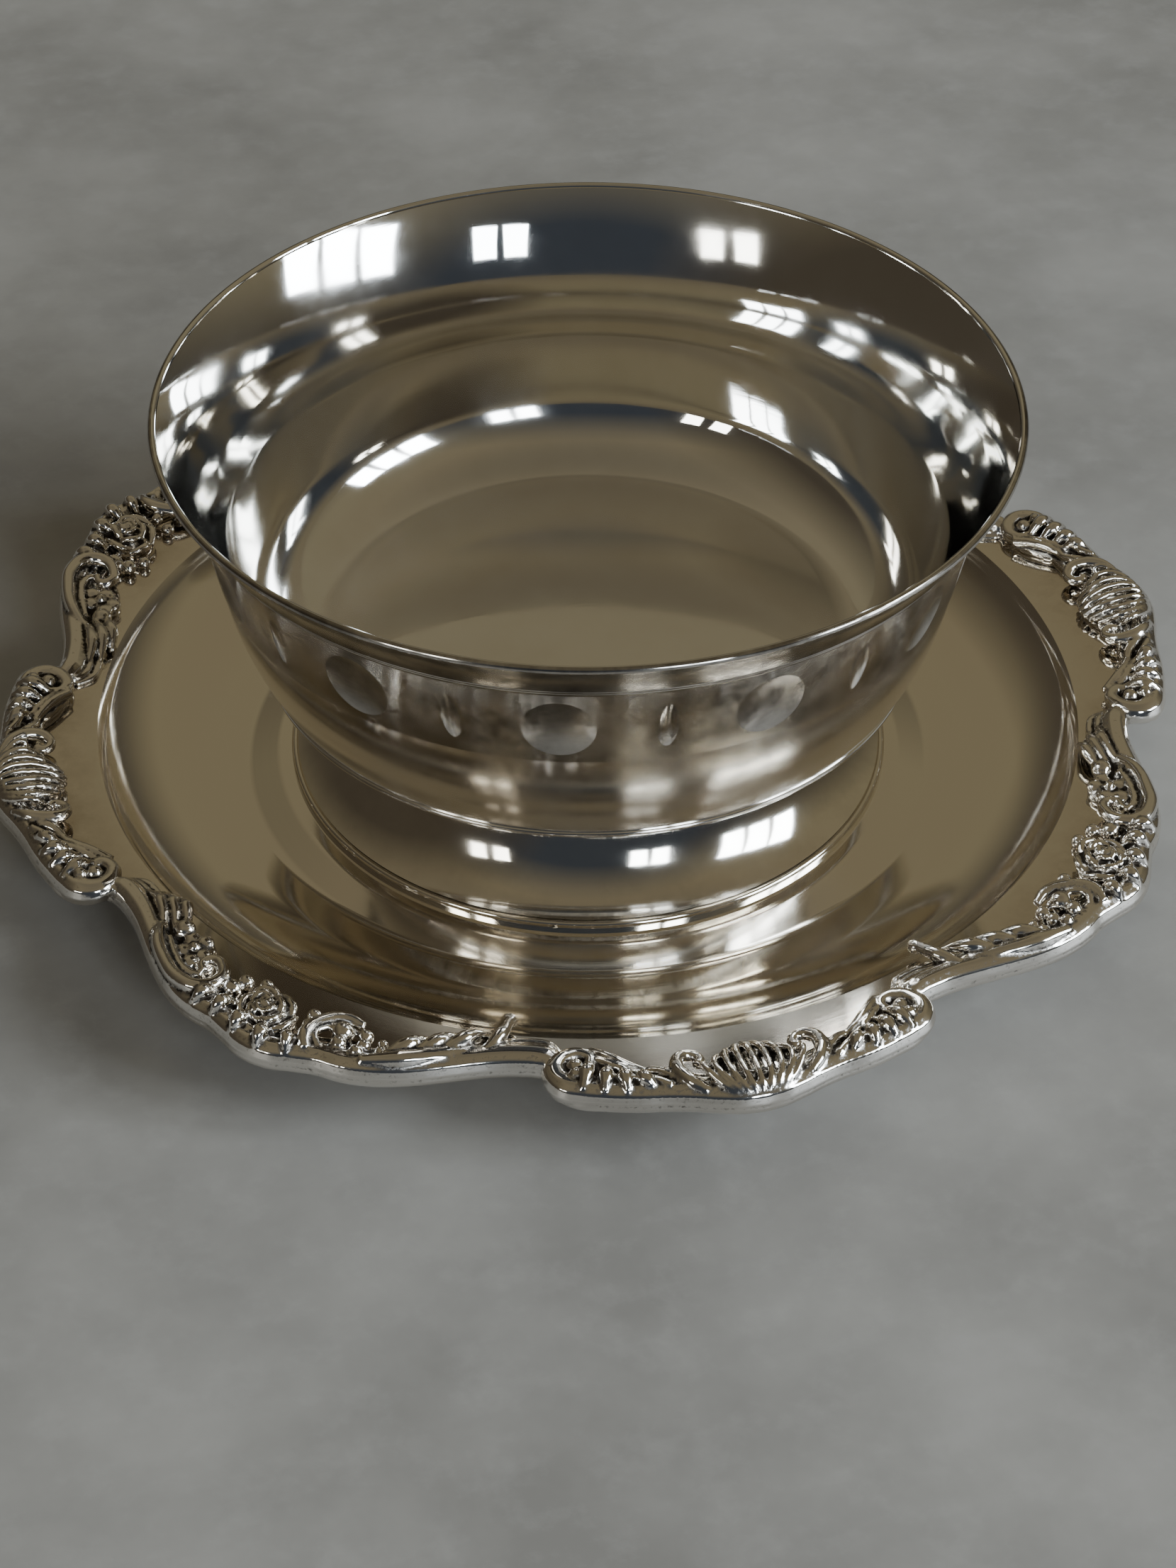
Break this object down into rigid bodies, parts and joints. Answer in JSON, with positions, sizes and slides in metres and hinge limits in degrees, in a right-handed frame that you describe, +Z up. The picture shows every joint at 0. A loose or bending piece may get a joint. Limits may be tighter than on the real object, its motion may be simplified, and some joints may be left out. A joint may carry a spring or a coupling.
{
  "type": "sauce bowl",
  "caption": "Round silver-plated sauce bowl with a flared rim and spool foot, fixed to a scalloped underplate with a cast rose and shell border.",
  "frame": {"origin": "centre of the underplate's rest ring on the surface it stands on, on the common axis of bowl, foot and plate", "axes": "+Z up along the axis; -Y is the front, through the middle of one shell of the border; +X to the right"},
  "size_m": [0.1856, 0.1856, 0.065],
  "materials": {
    "silver_plate": "polished silver plate over brass sheet, fine wiping scratches",
    "plate_silver": "polished silver plate, light brown tarnish towards the border",
    "cast_silver_plate": "cast ornament, polished on the high spots and dark oxidised in the recesses",
    "solder": "plated soft solder"
  },
  "bodies": {
    "root": {"bowl_shell": "silver_plate", "bowl_foot": "silver_plate", "bowl_to_foot_solder": "solder", "foot_to_plate_solder": "solder", "underplate": "plate_silver", "border_shell_front": "cast_silver_plate", "border_shell_right": "cast_silver_plate", "border_shell_back": "cast_silver_plate", "border_shell_left": "cast_silver_plate", "border_rose_1": "cast_silver_plate", "border_rose_2": "cast_silver_plate", "border_rose_3": "cast_silver_plate", "border_rose_4": "cast_silver_plate", "border_joint_solder": "solder"}
  },
  "joints": []
}
